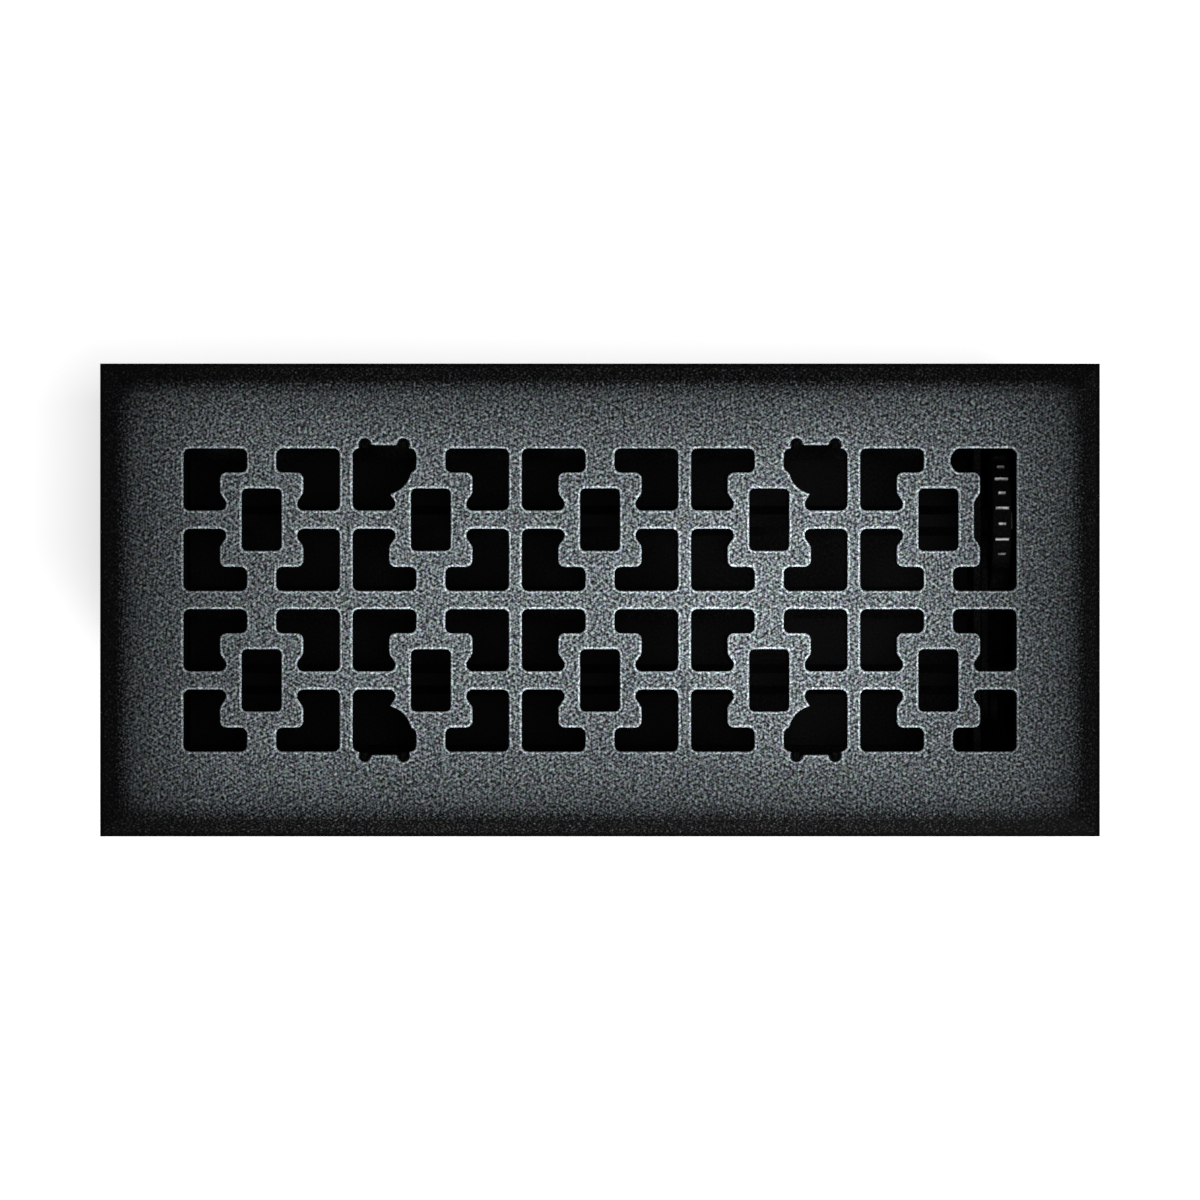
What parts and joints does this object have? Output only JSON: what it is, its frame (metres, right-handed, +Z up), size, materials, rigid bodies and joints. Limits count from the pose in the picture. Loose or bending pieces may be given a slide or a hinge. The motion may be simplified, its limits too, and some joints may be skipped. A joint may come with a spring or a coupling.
{
  "type": "floor register",
  "caption": "Rectangular floor register: a bevelled, lattice-pierced metal face over a damper box with linked blades turned by a ribbed thumb wheel.",
  "frame": {"origin": "middle of the plane that the face's rim rests on the floor with", "axes": "+X along the face, +Y across it towards the thumb wheel's row, +Z up out of the floor"},
  "size_m": [0.2954, 0.1396, 0.0488],
  "materials": {
    "face_coat": "fine textured charcoal powder coat",
    "box_plastic": "moulded black plastic",
    "blade_plastic": "moulded black plastic",
    "wheel_plastic": "moulded black plastic, rubbed on its ribs",
    "shaft_steel": "blackened drawn steel"
  },
  "bodies": {
    "root": {"face_plate": "face_coat", "damper_box": "box_plastic", "rear_pivot_pin": "shaft_steel", "front_pivot_pin": "shaft_steel"},
    "rear_damper": {"rear_blade": "blade_plastic", "rear_shaft": "shaft_steel", "thumb_wheel": "wheel_plastic"},
    "front_damper": {"front_blade": "blade_plastic", "front_shaft": "shaft_steel", "crank_arm": "wheel_plastic"},
    "link": {"link_bar": "wheel_plastic"}
  },
  "joints": [
    {"name": "rear_damper_turn", "type": "hinge", "parent": "root", "child": "rear_damper", "pos_m": [0, 0.02368, -0.018], "axis": [-1, 0, 0], "range_deg": [0, 85]},
    {"name": "front_damper_turn", "type": "hinge", "parent": "root", "child": "front_damper", "pos_m": [0, -0.02368, -0.018], "axis": [-1, 0, 0], "range_deg": [0, 85]},
    {"name": "link_swing", "type": "hinge", "parent": "rear_damper", "child": "link", "pos_m": [0.11405, 0.01557, -0.00915], "axis": [1, 0, 0], "range_deg": [0, 85]}
  ],
  "couplings": [
    {"joint": "front_damper_turn", "follows": "rear_damper_turn", "ratio": 1},
    {"joint": "link_swing", "follows": "rear_damper_turn", "ratio": 1}
  ]
}
